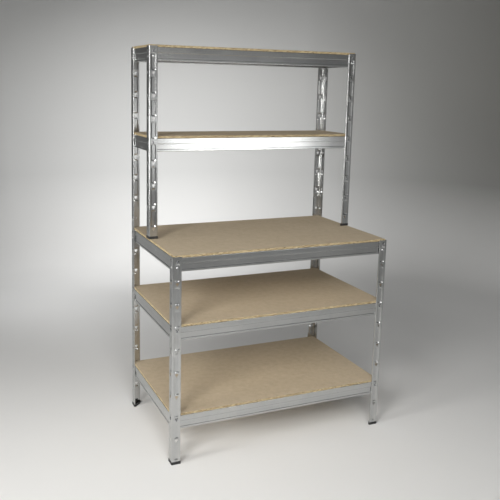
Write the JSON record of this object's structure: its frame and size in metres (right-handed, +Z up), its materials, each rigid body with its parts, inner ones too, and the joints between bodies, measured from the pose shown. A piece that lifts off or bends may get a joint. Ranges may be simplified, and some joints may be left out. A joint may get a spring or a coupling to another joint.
{
  "type": "workbench with shelving",
  "caption": "Galvanised boltless steel workbench: a deep worktop over lower shelves, with a shallower shelf unit standing at its rear edge.",
  "frame": {"origin": "on the floor, at the middle of the footprint", "axes": "+Z up, +X to the right seen from the front, -Y is the front where the worktop is open"},
  "size_m": [1.0636, 0.6436, 1.8],
  "materials": {
    "galvanised_steel": "galvanised, semi-bright with a faint spangle and drawn lines",
    "chipboard": "sanded hardboard-like face with a raw speckled chip edge",
    "foot_plastic": "moulded, matte black",
    "zinc_fasteners": "bright zinc plated"
  },
  "bodies": {
    "root": {"bottom_shelf_beam_front": "galvanised_steel", "bottom_shelf_beam_left": "galvanised_steel", "bottom_shelf_beam_rear": "galvanised_steel", "bottom_shelf_beam_right": "galvanised_steel", "bottom_shelf_rivets": "zinc_fasteners", "foot_front_left": "foot_plastic", "foot_front_right": "foot_plastic", "foot_rear_left": "foot_plastic", "foot_rear_right": "foot_plastic", "lower_post_front_left": "galvanised_steel", "lower_post_front_right": "galvanised_steel", "lower_post_rear_left": "galvanised_steel", "lower_post_rear_right": "galvanised_steel", "middle_shelf_beam_front": "galvanised_steel", "middle_shelf_beam_left": "galvanised_steel", "middle_shelf_beam_rear": "galvanised_steel", "middle_shelf_beam_right": "galvanised_steel", "middle_shelf_rivets": "zinc_fasteners", "splice_bolts": "zinc_fasteners", "splice_nuts": "zinc_fasteners", "splice_rear_left": "galvanised_steel", "splice_rear_right": "galvanised_steel", "top_shelf_beam_front": "galvanised_steel", "top_shelf_beam_left": "galvanised_steel", "top_shelf_beam_rear": "galvanised_steel", "top_shelf_beam_right": "galvanised_steel", "top_shelf_lock_bolts": "zinc_fasteners", "top_shelf_lock_nuts": "zinc_fasteners", "top_shelf_rivets": "zinc_fasteners", "upper_foot_front_left": "foot_plastic", "upper_foot_front_right": "foot_plastic", "upper_post_front_left": "galvanised_steel", "upper_post_front_right": "galvanised_steel", "upper_post_rear_left": "galvanised_steel", "upper_post_rear_right": "galvanised_steel", "upper_shelf_beam_front": "galvanised_steel", "upper_shelf_beam_left": "galvanised_steel", "upper_shelf_beam_rear": "galvanised_steel", "upper_shelf_beam_right": "galvanised_steel", "upper_shelf_rivets": "zinc_fasteners", "worktop_beam_front": "galvanised_steel", "worktop_beam_left": "galvanised_steel", "worktop_beam_rear": "galvanised_steel", "worktop_beam_right": "galvanised_steel", "worktop_board": "chipboard", "worktop_lock_bolts": "zinc_fasteners", "worktop_lock_nuts": "zinc_fasteners", "worktop_rivets": "zinc_fasteners"},
    "bottom_board": {"bottom_shelf_board": "chipboard"},
    "middle_board": {"middle_shelf_board": "chipboard"},
    "upper_board": {"upper_shelf_board": "chipboard"},
    "top_board": {"top_shelf_board": "chipboard"}
  },
  "joints": [
    {"name": "bottom_board_lift", "type": "slide", "parent": "root", "child": "bottom_board", "axis": [0, 0, 1], "range_m": [0, 0.3]},
    {"name": "middle_board_lift", "type": "slide", "parent": "root", "child": "middle_board", "axis": [0, 0, 1], "range_m": [0, 0.18]},
    {"name": "upper_board_lift", "type": "slide", "parent": "root", "child": "upper_board", "axis": [0, 0, 1], "range_m": [0, 0.3]},
    {"name": "top_board_lift", "type": "slide", "parent": "root", "child": "top_board", "axis": [0, 0, 1], "range_m": [0, 0.2]}
  ]
}
